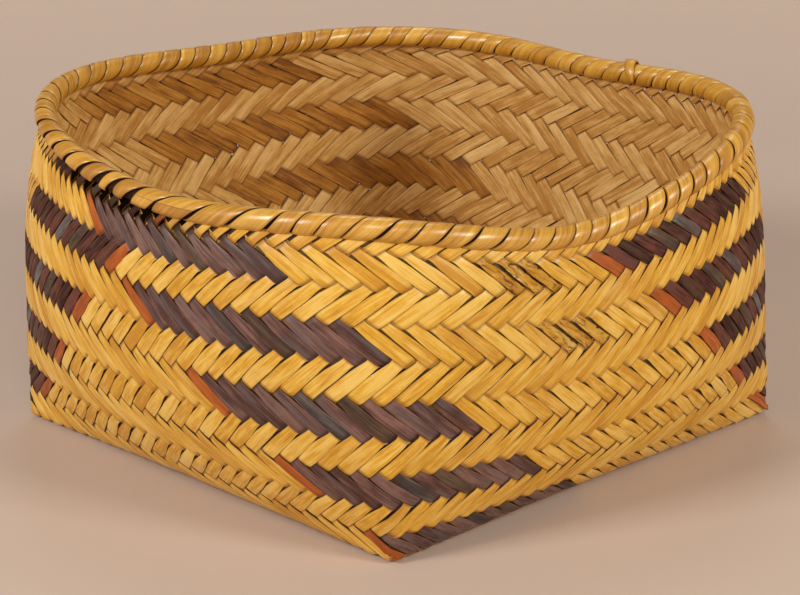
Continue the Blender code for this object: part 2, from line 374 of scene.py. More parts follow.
class Nodes:
    """A short way to wire one material's nodes."""

    def __init__(self, name: str) -> None:
        """Starts a material with an empty tree but for its shader and output.

        Args:
            name: The material's name.
        """
        self.material = bpy.data.materials.new(name)
        self.material.use_nodes = True
        self.tree = self.material.node_tree
        self.shader = self.tree.nodes["Principled BSDF"]

    def add(self, kind: str, inputs: dict | None = None, **settings: object) -> bpy.types.Node:
        """Adds a node.

        Args:
            kind: The node's type name, without its ShaderNode prefix.
            inputs: Values or sockets for its inputs, by name or number.
            **settings: Its own settings.

        Returns:
            The node.
        """
        node = self.tree.nodes.new("ShaderNode" + kind)
        for key, value in settings.items():
            setattr(node, key, value)
        for key, value in (inputs or {}).items():
            self.feed(node.inputs[key], value)
        return node

    def feed(self, socket: Socket, value: object) -> None:
        """Links a socket to an input, or sets the input's value.

        Args:
            socket: The input.
            value: A socket or a value.
        """
        if isinstance(value, Socket):
            self.tree.links.new(value, socket)
        else:
            socket.default_value = value

    def math(self, operation: str, *values: object, clamp: bool = False) -> Socket:
        """Adds a sum of sockets and numbers, and returns its result."""
        return self.add("Math", dict(enumerate(values)), operation=operation, use_clamp=clamp).outputs[0]

    def nudge(self, value: object, other: Socket, share: float) -> Socket:
        """Moves a value by a share of how far another lies from one half."""
        return self.math("ADD", value, self.math("MULTIPLY", self.math("SUBTRACT", other, 0.5), share))

    def vector(self, operation: str, first: Socket, second: object) -> Socket:
        """Adds a sum of two vectors, part by part, and returns its result."""
        return self.add("VectorMath", {0: first, 1: second}, operation=operation).outputs[0]

    def noise(self, vector: Socket, scale: Scale, detail: float, rough: float = 0.55, out: int = 0) -> Socket:
        """Adds a noise over a vector.

        Args:
            vector: Where the noise is read.
            scale: What each part of the vector is scaled by.
            detail: The noise's detail.
            rough: Its roughness.
            out: 0 for its value, 1 for its colour.

        Returns:
            The value or colour.
        """
        place = self.vector("MULTIPLY", vector, scale)
        inputs = {"Vector": place, "Scale": 1.0, "Detail": detail, "Roughness": rough}
        return self.add("TexNoise", inputs).outputs[out]

    def span(self, value: Socket, low: float, high: float, start: float = 0.0, end: float = 1.0) -> Socket:
        """Maps low..high to start..end, held at both ends."""
        inputs = {0: value, 1: low, 2: high, 3: start, 4: end}
        return self.add("MapRange", inputs, clamp=True, interpolation_type="SMOOTHSTEP").outputs[0]

    def mix(self, share: Socket, first: object, second: object) -> Socket:
        """Mixes two colours.

        Args:
            share: How much of the second shows.
            first: A colour, or its socket.
            second: The other one.

        Returns:
            The mixed colour.
        """
        node = self.add("Mix", data_type="RGBA")
        self.feed(node.inputs[0], share)
        for number, value in ((6, first), (7, second)):
            self.feed(node.inputs[number], (*value, 1) if isinstance(value, tuple) else value)
        return node.outputs[2]

    def finish(self, inputs: dict[str, object]) -> bpy.types.Material:
        """Feeds the shader.

        Args:
            inputs: Values or sockets for its inputs, by name.

        Returns:
            The material.
        """
        for key, value in inputs.items():
            self.feed(self.shader.inputs[key], value)
        return self.material


@dataclass(frozen=True)
class CaneFinish:
    """The face of a cane: streaks along it, blotches, dark specks, worn edges, and painted shade at edges,
    tucks and folds.

    The mesh gives grain as millimetres across and along and a number of its own for each bar, and
    shade as the place across (-1 to 1), the layer (1 outside, -1 inside, 0 where it changes, and
    under -1 where an end lies in the dark) and the crease (0 to 1). Colours are as seen on screen.
    """

    name: str
    pale: Rgb
    mid: Rgb
    deep: Rgb
    # Colour of worn edges, and of painted shade between splints and in fold valleys.
    edge: Rgb
    # Colour of the painted shade where a splint tucks under, also of its dark specks and the brown of its
    # wrinkles.
    tucked: Rgb
    roughness: float = 0.42
    gloss: float = 0.5
    edge_share: float = 0.6
    speck_share: float = 0.5
    bump: float = 0.25
    faces_in: bool = False
    cast: Rgb = (245, 213, 132)
    cast_share: float = 0.0
    contrast: float = 1.0
    # Colour of the painted shade on faces that the other set of splints covers.
    painted_under_shade: Rgb = (44, 26, 12)
    # Near black colour of the painted shadow on ends in the dark under the roll.
    painted_shadow: Rgb = (14, 8, 5)

    def build(self) -> bpy.types.Material:
        """Wires the finish.

        Returns:
            The material.
        """
        n = Nodes(self.name)
        grain, shade = (n.add("Attribute", attribute_name=k).outputs["Vector"] for k in ("grain", "shade"))
        across, layer, crease = n.add("SeparateXYZ", {0: shade}).outputs
        # Each noise has its scale across, along and from bar to bar, then its detail and roughness.
        fine = n.noise(grain, (3.2, 0.09, 7.0), 4.0, 0.6)
        broad = n.noise(grain, (0.55, 0.05, 11.0), 2.0)
        patch = n.noise(grain, (0.16, 0.11, 3.0), 3.0, 0.65)
        slow = n.noise(grain, (0.0, 0.006, 23.0), 1.0)
        bloom = n.noise(grain, (0.42, 0.045, 17.0), 2.5, 0.6)
        speck = n.noise(grain, (1.3, 0.7, 5.0), 2.0, 0.7)
        own = n.add("SeparateXYZ", {0: grain}).outputs[2]
        own = n.add("TexWhiteNoise", {"W": own}, noise_dimensions="1D").outputs["Value"]
        mixed = n.math("ADD", n.math("MULTIPLY", fine, 0.55), n.math("MULTIPLY", broad, 0.45))
        for pattern, share in ((own, 0.15), (slow, 0.28), (patch, 0.30)):
            mixed = n.nudge(mixed, pattern, share)
        mixed = n.nudge(0.5, mixed, self.contrast)
        bend = n.vector("MULTIPLY", n.noise(grain, (0.3, 0.22, 3.0), 1.0, 0.5, 1), (1.6, 0.8, 0.0))
        bent = n.vector("ADD", n.vector("MULTIPLY", grain, (0.42, 0.075, 9.0)), bend)
        ridge = n.math("ABSOLUTE", n.math("SUBTRACT", n.noise(bent, (1.0, 1.0, 1.0), 1.0, 0.5), 0.5))
        valley = n.math("MULTIPLY", n.span(ridge, 0.030, 0.0), crease)
        edge_wear_and_shade = n.nudge(n.math("ABSOLUTE", across), broad, 0.35)
        tuck = n.math("SUBTRACT", 1.0, n.math("ABSOLUTE", layer), clamp=True)
        hidden = 1 if self.faces_in else -1
        # Each coat is how much of it shows where, and its colour.
        coats = [
            (n.span(mixed, 0.50, 0.70), self.pale),
            (n.span(bloom, 0.48, 0.66, 0.0, self.cast_share), self.cast),
            # Edges darker: wear, and painted shade in the gaps between splints.
            (n.span(edge_wear_and_shade, 0.86, 1.04, 0.0, self.edge_share), self.edge),
            # Painted shade where the splint dives under the next one.
            (n.span(tuck, 0.15, 1.0, 0.0, 0.65), self.tucked),
            (n.span(speck, 0.70, 0.76, 0.0, self.speck_share), self.tucked),
            (n.math("MULTIPLY", crease, 0.22), self.tucked),
            # Painted shade in the valleys of the wrinkles' folds.
            (n.math("MULTIPLY", valley, 0.75), self.edge),
            # Painted shade where a face lies under the other set.
            (n.span(layer, hidden * 0.2, hidden * 0.9, 0.0, 0.85), self.painted_under_shade),
        ]
        # Painted shadow: ends in the dark under the roll go near black, and further down they lose their
        # gloss.
        if not self.faces_in:
            coats.append((n.span(layer, -1.05, -1.6), self.painted_shadow))
        colour = n.mix(n.span(mixed, 0.34, 0.54), srgb(*self.deep), srgb(*self.mid))
        for share, coat in coats:
            colour = n.mix(share, colour, srgb(*coat))
        folds = n.math("MULTIPLY", n.math("MULTIPLY", ridge, crease), 40.0)
        relief = {"Strength": self.bump, "Distance": 0.0002, "Height": n.math("ADD", fine, folds)}
        return n.finish({
            "Base Color": colour,
            "Roughness": n.span(mixed, 0.3, 0.7, self.roughness + 0.1, self.roughness - 0.05),
            "Specular IOR Level": n.span(layer, -1.6, -1.05, 0.0, self.gloss),
            "Normal": n.add("Bump", relief).outputs[0],
        })


@dataclass(frozen=True)
class BackdropFinish:
    """The plain pale paper that the basket stands on, with faint darker clouds."""

    name: str
    tone: Colour
    mottle: float = 0.06
    roughness: float = 0.9
    gloss: float = 0.1

    def build(self) -> bpy.types.Material:
        """Wires the finish.

        Returns:
            The material.
        """
        n = Nodes(self.name)
        cloud = n.noise(n.add("NewGeometry").outputs["Position"], (2.2, 2.2, 2.2), 2.0)
        darker = tuple(c * (1 - self.mottle) for c in self.tone)
        colour = n.mix(cloud, darker, self.tone)
        return n.finish({"Base Color": colour, "Roughness": self.roughness, "Specular IOR Level": self.gloss})


class CaneStock:
    """Every cane finish, made once and handed out by name."""

    # The five colours of each dark rind, its cast, and its roughness, gloss and edge share.
    dark: dict[Dye, tuple] = {
        Dye.PURPLE: (
            ((132, 98, 88), (100, 67, 60), (68, 40, 34), (134, 74, 34), (42, 22, 17)), (100, 91, 94),
            (0.44, 0.45, 0.55),
        ),
        Dye.DEEP_PURPLE: (
            ((108, 60, 50), (80, 41, 34), (48, 22, 18), (116, 58, 24), (30, 14, 9)), (92, 70, 50),
            (0.55, 0.25, 0.45),
        ),
        Dye.GREY: (
            ((112, 106, 104), (84, 76, 76), (58, 47, 45), (112, 70, 40), (40, 27, 22)), (92, 62, 56),
            (0.46, 0.40, 0.50),
        ),
        Dye.OLIVE: (
            ((102, 82, 62), (76, 58, 44), (52, 36, 28), (112, 66, 34), (40, 25, 17)), (84, 52, 46),
            (0.46, 0.40, 0.50),
        ),
    }

    def __init__(self) -> None:
        """Makes the finishes."""
        brown, honey = (84, 44, 16), (148, 94, 36)
        self.rinds = {
            Dye.NATURAL: CaneFinish(
                "cane_rind", (236, 196, 98), (222, 169, 50), (198, 140, 35), brown, honey, 0.36, 0.5, 0.55,
                0.8, 0.30, cast_share=0.32, contrast=1.35,
            ).build(),
            Dye.ORANGE: CaneFinish(
                "cane_orange", (200, 116, 44), (176, 88, 20), (144, 66, 14), (100, 46, 14), (92, 42, 14),
                0.42, 0.45, 0.4, 0.3,
            ).build(),
        }
        for dye, (colours, cast, finish) in self.dark.items():
            self.rinds[dye] = CaneFinish(
                f"cane_{dye.name.lower()}", *colours, *finish, 0.4, 0.3,
                cast=cast, cast_share=0.6, contrast=1.5,
            ).build()
        self.pith = CaneFinish(
            "cane_pith", (234, 197, 132), (216, 172, 101), (187, 135, 67), brown, honey, 0.7, 0.25, 0.65,
            0.35, 0.35, True, contrast=1.4,
        ).build()
        self.stained_pith = CaneFinish(
            "cane_stained_pith", (204, 152, 78), (175, 119, 44), (120, 75, 38), (84, 48, 26), (88, 54, 40),
            0.65, 0.3, 0.5, 0.6, 0.35, True,
        ).build()
        self.hoop = CaneFinish(
            "hoop_cane", (58, 36, 20), (40, 24, 13), (25, 15, 8), brown, brown, 0.8, 0.1
        ).build()
        # Its darker edges paint shade along the slots between its turns.
        self.binder = CaneFinish(
            "binder_rind", (228, 182, 84), (206, 151, 46), (170, 114, 28), (80, 43, 14), (108, 64, 22), 0.33,
            0.95, 0.6, 0.4, 0.12, contrast=1.1,
        ).build()

    def of(self, dye: Dye) -> list[bpy.types.Material]:
        """Hands out a splint's rind and pith."""
        return [self.rinds[dye], self.pith if dye is Dye.NATURAL else self.stained_pith]


@dataclass(frozen=True)
class Wander:
    """A slow, seeded wander about zero, as a sum of waves, for the small unevenness of handwork."""

    seed: int
    reach: float
    waves: int
    longest: float
    shortest: float

    def at(self, run: np.ndarray, own: int) -> np.ndarray:
        """Reads the wander along a run.

        Args:
            run: Places, in the unit of the waves' lengths.
            own: The piece's own number, which the seed counts on from.

        Returns:
            A value for each place.
        """
        rng = np.random.default_rng(self.seed + own)
        lengths = np.geomspace(self.longest, self.shortest, self.waves)
        total = 0.0
        for length in lengths:
            total += rng.normal() * np.sin(2 * math.pi * run / length + rng.uniform(0, 2 * math.pi))
        return self.reach * total / math.sqrt(self.waves)


@dataclass
class Splint:
    """One splint, from the rim on one wall, under the base, to the rim on another.

    What lies along or across the mat is counted in splints, and what lies through the sheet is in
    metres. A spot is a bearing and its reach in degrees, and a thin one also the share of width that
    goes. A pair of rows is where something starts and how many rows it takes. A wrinkled group is
    the places before its first and after its last splint, and its lowest and highest row. Stops are
    the gaps between rings on floats and on wrinkles, and the least gap.
    """

    shape: BasketShape
    direction: Direction
    place: float
    dye: Dye
    over: int = 4
    pitch: float = 0.005
    thickness: float = 0.00085
    width: float = 1.02
    top_pinch: float = 0.25
    inner_pinch: float = 0.25
    foot_pinch: float = 0.03
    pinch_reach: float = 1.05
    crown: float = 0.00014
    chamfer: float = 0.00014
    arch: float = 0.00018
    shingle: float = 0.030
    shingle_rows: Span = (1.0, 3.0)
    top_gap: float = 1.0
    step: float = 0.80
    step_stops: tuple[float, float, int] = (-0.42, 0.42, 8)
    stops: tuple[float, float, float] = (0.9, 0.14, 0.05)
    folds: Span = (0.45, 1.5)
    thin: float = 0.10
    thin_rows: Span = (33.0, 3.5)
    thin_spots: tuple = ((-135.0, 24.0, 0.44), (8.0, 16.0, 0.28), (60.0, 50.0, 0.10))
    dark_spot: Span = (-145.0, 19.0)
    dark_rows: Span = (34.8, 1.0)
    dark_shares: Span = (0.60, 1.0)
    wrinkled: tuple = ((22, 25, 31.5, 35.5), (21, 24, 23.5, 27.5))
    wrinkle_loss: float = 0.15
    width_wander: Wander = Wander(0, 0.062, 5, 40.0, 3.5)
    sway_wander: Wander = Wander(501, 0.036, 5, 40.0, 4.0)
    lift_wander: Wander = Wander(907, 0.00006, 6, 30.0, 3.0)
    tilt_wander: Wander = Wander(1303, 0.030, 5, 30.0, 4.0)
    wrinkle_wander: Wander = Wander(0, 0.00045, 5, 6.0, 0.6)
    first_seed: int = 1160

    @property
    def seed(self) -> int:
        """Numbers the splint, so that its unevenness is its own."""
        return int(self.first_seed + 4 * self.place + (self.direction is Direction.ALONG_X))

    @property
    def name(self) -> str:
        """Names the piece by its set and its number from one side."""
        return f"splint_{self.direction.value}_{int(self.place + self.shape.side + 0.5):02d}"

    @property
    def end(self) -> float:
        """How far the splint runs each way from the mat's middle line, in splints."""
        return self.shape.rows - self.top_gap + self.shape.fold - abs(self.place)

    def _rows(self, run: np.ndarray) -> np.ndarray:
        """Counts the rows up the wall at each place."""
        return abs(self.place) + np.abs(run) - self.shape.side

    def _over(self, run: np.ndarray) -> np.ndarray:
        """Says on which side of the sheet the splint lies at its crossings.

        Args:
            run: The crossings, in splints from its middle.

        Returns:
            1 for outside or -1 for inside, at each.
        """
        first = (self.place * run < 0) if self.direction is Direction.ALONG_Y else (self.place * run > 0)
        even = np.mod(np.floor(np.rint(self._rows(run)) / self.over), 2) == 0
        return np.where(first == even, 1.0, -1.0)

    def _weave(self, run: np.ndarray) -> np.ndarray:
        """Works out the layer along the splint.

        Args:
            run: Places along the splint, in splints from its middle.

        Returns:
            1 outside, -1 inside, and between them at a step.
        """
        before = np.floor(run - 0.5) + 0.5
        here, there = self._over(before), self._over(before + 1)
        return here + (there - here) * smooth_step(run - before - 0.5, -self.step / 2, self.step)

    def _changes(self) -> np.ndarray:
        """Lists the places where the splint goes from one side of the sheet to the other."""
        crossings = np.arange(-math.floor(self.end) - 1, math.floor(self.end) + 2) + 0.5
        return (crossings[:-1] + 0.5)[np.diff(self._over(crossings)) != 0]

    def _arch(self, run: np.ndarray) -> np.ndarray:
        """Says how high the splint arches on its floats.

        Args:
            run: Places along the splint, in splints from its middle.

        Returns:
            0 at a float's tucks, and up to 1 at its middle.
        """
        ends = np.concatenate([[-self.end - 2], self._changes(), [self.end + 2]])
        index = np.clip(np.searchsorted(ends, run, side="right"), 1, len(ends) - 1)
        share = (run - ends[index - 1]) / (ends[index] - ends[index - 1])
        return np.sin(math.pi * np.clip(share, 0, 1))

    def _pinch(self, run: np.ndarray) -> np.ndarray:
        """Draws each float in towards its ends, more at the upper one, which leaves small dark wedges.

        Args:
            run: Places along the splint, in splints from its middle.

        Returns:
            The share of the width that is left at each.
        """
        off = np.abs(run)[:, None] - np.abs(self._changes())[None, :]
        near = np.exp(-((off / self.pinch_reach) ** 2))
        outside = smooth_step(self._weave(run), -1, 2)[:, None]
        upper = self.top_pinch * (self.inner_pinch + (1 - self.inner_pinch) * outside)
        return 1 - (near * np.where(off < 0, upper, self.foot_pinch)).max(axis=1)

    @staticmethod
    def _off(line: np.ndarray, bearing: float) -> np.ndarray:
        """Measures how far corner-on points lie round the basket from a bearing, in degrees."""
        return np.mod(np.degrees(np.arctan2(line[:, 1], line[:, 0])) - bearing + 180, 360) - 180

    def _slimming(self, line: np.ndarray, rows: np.ndarray, level: np.ndarray) -> np.ndarray:
        """Narrows the splint under the rim, most where the photograph shows gaps there.

        Args:
            line: Corner-on points along the splint.
            rows: How many rows up the wall each lies.
            level: The layer at each.

        Returns:
            The share of the width that is left at each.
        """
        thin = self.thin
        for bearing, reach, share in self.thin_spots:
            near = np.exp(-((self._off(line, bearing) / reach) ** 2))
            thin = thin + share * near * smooth_step(level, -1, 2)
        return 1 - thin * smooth_step(rows, *self.thin_rows)

    def _shaded_ends(self, line: np.ndarray, rows: np.ndarray) -> np.ndarray:
        """Marks the ends in the dark under the roll at the left front, every other splint less.

        Args:
            line: Corner-on points along the splint.
            rows: How many rows up the wall each lies.

        Returns:
            0 in the light, and up to 1 in the dark.
        """
        bearing, reach = self.dark_spot
        near = np.exp(-((self._off(line, bearing) / reach) ** 4))
        return self.dark_shares[self.seed // 4 % 2] * smooth_step(rows, *self.dark_rows) * near

    def _stops(self) -> np.ndarray:
        """Picks where the rings go: close at steps and wrinkles, wide on floats.

        Returns:
            The places, in order.
        """
        wide, close, least = self.stops
        near = (self._changes()[:, None] + np.linspace(*self.step_stops)).ravel()
        fine = np.arange(-self.end, self.end, close)
        fine = fine[self._crease(fine) > 0.02]
        stops = np.concatenate([near, fine, np.arange(-self.end, self.end, wide), [-self.end, self.end]])
        stops = np.unique(np.round(stops[np.abs(stops) <= self.end + 1e-9], 4))
        return stops[np.concatenate([[True], np.diff(stops) > least])]

    def _line(self, place: float, run: np.ndarray) -> np.ndarray:
        """Lays a line of the splint, with its folds rounded, wide at mid side and tight at corners.

        Args:
            place: How far the line lies from the mat's middle, in splints.
            run: Places along it.

        Returns:
            One corner-on point for each.
        """
        step, past = 0.25, 4
        fine = np.arange(-self.end - past, self.end + past + step, step)
        raw = self.shape.lay(self.direction, place, fine)
        tight, wide = (soften(raw, reach / step) for reach in self.folds)
        across = min(1.0, max(0.0, 1 - abs(place) / self.shape.fold))
        share = math.sin(math.pi * across) ** 2
        return between(run, fine, tight * (1 - share) + wide * share)

    def _ring(self) -> tuple[np.ndarray, np.ndarray, np.ndarray]:
        """Draws the section.

        Returns:
            Shares across, heights from the middle, and the slot of the face after each point.
        """
        half, cut = self.thickness / 2, self.chamfer
        across = np.array((-0.5, -0.47, -0.25, 0.0, 0.25, 0.47, 0.5, 0.5, 0.46, -0.46, -0.5))
        height = np.array(
            (half - cut, half, half + 0.8 * self.crown, half + self.crown, half + 0.8 * self.crown, half,
             half - cut, -half + cut, -half, -half, -half + cut)
        )
        return across, height, np.array((0, 0, 0, 0, 0, 0, 1, 1, 1, 1, 1))

    def bar(self) -> Bar:
        """Works out the splint's rings.

        Returns:
            The bar to build.
        """
        run = self._stops()
        rows, level, crease = self._rows(run), self._weave(run), self._crease(run)
        flat_line = self._line(self.place, run)
        width = self.width + self.width_wander.at(run, self.seed)
        width = width * self._pinch(run) * self._slimming(flat_line, rows, level)
        width *= 1 - self.wrinkle_loss * crease
        sway = self.sway_wander.at(run, self.seed)
        line = self.shape.set_down(flat_line)
        left, right = (self.shape.set_down(self._line(self.place + off, run)) for off in (-0.25, 0.25))
        side = (right - left) * 2
        out = unit(np.cross(np.gradient(line, run, axis=0), side))
        outward = np.sign(np.einsum("ij,ij->i", out, line - (0, 0, self.shape.height / 2)))[:, None]
        out = out * outward
        shift = level * (self.thickness / 2 + self.arch * self._arch(run))
        shift = shift + self.lift_wander.at(run, self.seed)
        shingle = self.shingle * np.sign(side[:, 2]) * smooth_step(rows, *self.shingle_rows) * level
        tilt = self.tilt_wander.at(run, self.seed) - shingle
        across, height, slots = self._ring()
        if float(np.median(outward)) < 0:
            across = -across
        lateral = across * width[:, None] + sway[:, None]
        rise = height + shift[:, None] + across * tilt[:, None] * self.pitch
        rise = rise + crease[:, None] * self._wrinkles(run, len(across))
        rings = line[:, None, :] + lateral[..., None] * side[:, None, :] + rise[..., None] * out[:, None, :]
        mm = self.pitch / MM
        grain = stacked(lateral.shape, across * width[:, None] * mm, run[:, None] * mm, self.seed * 0.137)
        # Ends in the dark get a layer under -1, which the finish paints as shadow.
        shaded = self._shaded_ends(flat_line, rows)
        layer = level * (1 - shaded) - 2 * shaded
        shade = stacked(lateral.shape, across * 2, layer[:, None], crease[:, None])
        return Bar(rings, grain, shade, slots)

    def _wrinkles(self, run: np.ndarray, count: int) -> np.ndarray:
        """Raises and sinks each of the section's points along a wrinkled stretch."""
        return np.stack([self.wrinkle_wander.at(run, self.seed + 7 * i) for i in range(count)], axis=1)

    def _crease(self, run: np.ndarray) -> np.ndarray:
        """Marks where the splint is wrinkled: two groups on the front right, high on the wall.

        Args:
            run: Places along the splint, in splints from its middle.

        Returns:
            0 where it is flat, and up to 1 on a wrinkle.
        """
        rows = self._rows(run)
        marks = np.zeros_like(run)
        for first, last, low, high in self.wrinkled:
            if self.direction is Direction.ALONG_Y and first < self.place < last:
                ends = smooth_step(rows - low + 0.5) * smooth_step(high - rows + 0.5)
                marks = np.maximum(marks, ends * (run < 0))
        return marks


@dataclass
class PlaitedBody:
    """Both sets of splints. The dyed ones lie on one side of the middle, and are numbered from it."""

    shape: BasketShape
    stock: CaneStock
    per_side: int = 28
    dyed: int = 13
    odd: tuple = (
        ((Direction.ALONG_Y, 6), Dye.GREY), ((Direction.ALONG_Y, 8), Dye.OLIVE),
        ((Direction.ALONG_X, 6), Dye.GREY), ((Direction.ALONG_X, 4), Dye.OLIVE),
    )

    def _dye(self, direction: Direction, number: int) -> Dye:
        """Picks a splint's dye.

        Args:
            direction: The set that the splint is in.
            number: Its number from the middle.

        Returns:
            The dye.
        """
        if number == 0:
            return Dye.ORANGE
        dark = Dye.PURPLE if direction is Direction.ALONG_Y else Dye.DEEP_PURPLE
        return dict(self.odd).get((direction, number), dark if 0 < number < self.dyed else Dye.NATURAL)

    def build(self) -> None:
        """Makes every splint."""
        count = 0
        for direction in Direction:
            for number in range(-self.per_side, self.per_side):
                splint = Splint(self.shape, direction, number + 0.5, self._dye(direction, number))
                piece = splint.bar().build(splint.name, self.stock.of(splint.dye))
                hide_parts("plaited_body")
                count += 1
        LOG.info("plaited body: %d splints", count)


@dataclass
class RimRoll:
    """The two hoops, the binder wound round them and its tucked end.

    Places along the rim are in metres from the front corner, and angles in degrees up from straight
    out. The pitches of the turns and the dark slots between them are in millimetres, and the wide
    slot is what is added, where and how far to each side.
    """

    line: RimLine
    stock: CaneStock
    hoop_radius: float = 0.0029
    hoop_gap: float = 0.0017
    hoop_squash: float = 0.96
    hoop_points: int = 360
    arc_points: int = 9
    binder_radius: float = 0.0032
    binder_thickness: float = 0.0008
    binder_lip: float = 0.00016
    lengths: int = 4
    points_a_turn: int = 28
    sight_angle: float = 20.0
    front_start: float = -0.0895
    front_pitches: tuple[float, ...] = (
        12.0, 19.0, 17.5, 14.0, 7.0, 8.0, 9.5, 11.0, 9.5, 8.5, 10.5, 10.5, 11.0, 9.0, 10.0, 7.0, 8.0, 9.0,
        8.0, 9.0, 6.0, 7.0, 6.5,
    )
    usual_pitch: float = 8.6
    pitch_seed: int = 12
    pitch_spread: Span = (0.72, 1.28)
    abreast: int = 2
    lap: float = 0.004
    ease: float = 4.0
    slot: float = 0.62
    wide_slot: tuple[float, float, float] = (1.1, -0.095, 0.050)
    slot_seed: int = 31
    slot_spread: Span = (0.45, 1.75)
    flare: float = 0.7
    flare_angle: float = -50.0
    swell: Wander = Wander(41, 0.00008, 5, 60.0, 5.0)
    sharp: float = 50.0
    tuck_steps: int = 24
    tuck_angles: Span = (200.0, -35.0)
    tuck_place: float = 0.349
    tuck_slant: float = 0.007
    tuck_width: float = 0.0052
    tuck_tip: float = 0.35
    tuck_hump: float = 0.0008
    tuck_gap: float = 0.0002

    @property
    def outer(self) -> float:
        """The binder's outer radius."""
        return self.binder_radius + self.binder_thickness

    def _edges(self) -> np.ndarray:
        """Lays out the turns along the rim.

        Returns:
            Where each turn starts, and where the last one ends.
        """
        edges = [self.front_start]
        for pitch in self.front_pitches:
            edges.append(edges[-1] + pitch * MM)
        rest = self.front_start + self.line.length - edges[-1]
        count = round(rest / (self.usual_pitch * MM))
        count += (len(self.front_pitches) + count) % (2 * self.abreast)
        shares = np.random.default_rng(self.pitch_seed).uniform(*self.pitch_spread, count)
        shares = shares / shares.sum()
        edges += list(edges[-1] + np.cumsum(shares) * rest)
        return np.array(edges)

    def _gap(self, place: np.ndarray) -> np.ndarray:
        """Sizes the dark slot between turns, which is widest at the left front.

        Args:
            place: Places along the rim.

        Returns:
            The slot's width at each.
        """
        half = self.line.length / 2
        off = np.mod(place + half, self.line.length) - half
        added, middle, reach = self.wide_slot
        return (self.slot + added * np.exp(-(((off - middle) / reach) ** 2))) * MM

    def binder(self) -> None:
        """Winds the binder in its lengths, some abreast, and one length after another."""
        edges = self._edges()
        strips = len(edges) - 1
        numbers = np.arange(-2 * self.abreast, strips + 2 * self.abreast + 1)
        loops, places = np.divmod(numbers, strips)
        wrapped = edges[places] + loops * self.line.length
        slack = np.random.default_rng(self.slot_seed).uniform(*self.slot_spread, strips)[places]
        share = strips / (self.lengths // self.abreast)
        for index in range(self.lengths):
            stretch, beside = divmod(index, self.abreast)
            steps = int(share / self.abreast * self.points_a_turn)
            number = stretch * share + beside + np.linspace(self.lap, share - self.lap, steps)
            angle = 2 * math.pi * (number - beside) / self.abreast + math.radians(self.sight_angle)
            flare = 1 + self.flare * np.cos(angle - math.radians(self.flare_angle))
            sides = []
            for ahead, inward in ((0, 1), (1, -1)):
                edge = soften(np.interp(number + ahead, numbers, wrapped)[:, None], self.ease)[:, 0]
                slot = self._gap(edge) * flare * np.interp(number + ahead, numbers, slack) / 2
                sides.append(edge + inward * slot)
            piece = self._strip(*sides, angle, index)
            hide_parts(f"rim_binder_{index + 1}")
        LOG.info("binder: %d turns in %d lengths", strips, self.lengths)

    def _strip(self, low: np.ndarray, high: np.ndarray, angle: np.ndarray, index: int) -> bpy.types.Object:
        """Makes a strip of cane between two edges as it goes round the hoops.

        Args:
            low: Where the first edge lies along the rim, at each step.
            high: Where the second edge lies.
            angle: The angle up from straight out, at each step.
            index: The strip's number, from 0.

        Returns:
            The piece.
        """
        share = np.array((0.0, 0.0, 0.06, 0.3, 0.6, 0.9, 0.97, 1.0, 1.0, 0.8, 0.5, 0.2))
        inner, outer, lip = self.binder_radius, self.outer, self.binder_lip
        radius = np.array(
            (inner + lip, outer - lip - 0.0001, outer - 0.0001, outer + 0.00002, outer + 0.00008,
             outer + 0.00008, outer - 0.00002, outer - lip, inner + lip, inner, inner, inner)
        )
        place = low[:, None] + (high - low)[:, None] * share
        swell = self.swell.at(angle / (2 * math.pi) * 4, index)
        rings = self.line.round_it(place, angle[:, None], radius + swell[:, None])
        across = share * 2 - 1
        width = (high - low)[:, None] / MM
        own = (self.swell.seed + index) * 3.1
        grain = stacked(place.shape, across * width / 2, (angle * outer / MM)[:, None], own)
        shade = stacked(place.shape, across, 1.0, 0.0)
        slots = np.array((0, 0, 0, 0, 0, 0, 0, 1, 1, 1, 1, 1))
        bar = Bar(rings[:, ::-1], grain[:, ::-1], shade[:, ::-1], np.roll(slots[::-1], -1))
        return bar.build(f"rim_binder_turns_{index + 1}", [self.stock.binder, self.stock.pith], self.sharp)

    def hoops(self) -> None:
        """Makes the outer and the inner half-round hoop, with room for the sheet between them."""
        flat = self.hoop_gap / 2
        place = np.linspace(0, self.line.length, self.hoop_points, endpoint=False)[:, None]
        for side, label in ((1, "outer"), (-1, "inner")):
            arc = np.linspace(-math.pi / 2, math.pi / 2, self.arc_points)[::side]
            across = side * (flat + (self.hoop_radius - flat) * np.cos(arc))
            up = self.hoop_radius * self.hoop_squash * np.sin(arc)
            rings = self.line.round_it(place, np.arctan2(up, across), np.hypot(across, up))
            bar = plain_bar(rings, 0.0, (arc * 3, place / MM, 5.0 + side), True)
            piece = bar.build(f"rim_hoop_{label}_rod", [self.stock.hoop])
            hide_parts(f"rim_hoop_{label}")
        LOG.info("hoops: 2")

    def tuck(self) -> None:
        """Lays the short end of binder over the roll at the back right."""
        t = np.linspace(0, 1, self.tuck_steps + 1)
        start, end = self.tuck_angles
        angle = np.radians(start + (end - start) * t)
        place = self.line.length * self.tuck_place + self.tuck_slant * (t - 0.5)
        width = self.tuck_width * (self.tuck_tip + (1 - self.tuck_tip) * np.sin(math.pi * t) ** 0.6)
        share = np.array((-0.5, -0.42, 0.0, 0.42, 0.5, 0.5, -0.5))
        rise = np.array((0.00025, 0.0006, 0.0008, 0.0006, 0.00025, 0.0, 0.0))
        crest, reach = 0.45, 0.14
        lift = self.tuck_hump * np.exp(-(((t - crest) / reach) ** 2))
        radius = self.outer + self.tuck_gap + rise + lift[:, None]
        rings = self.line.round_it(place[:, None] + share * width[:, None], angle[:, None], radius)
        grain = (share * self.tuck_width / MM, (angle * self.outer / MM)[:, None], 88.0)
        bar = plain_bar(rings, share * 2, grain)
        piece = bar.build("binder_tucked_end", [self.stock.binder], self.sharp)
        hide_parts("binder_tuck")
        LOG.info("binder tuck: 1")


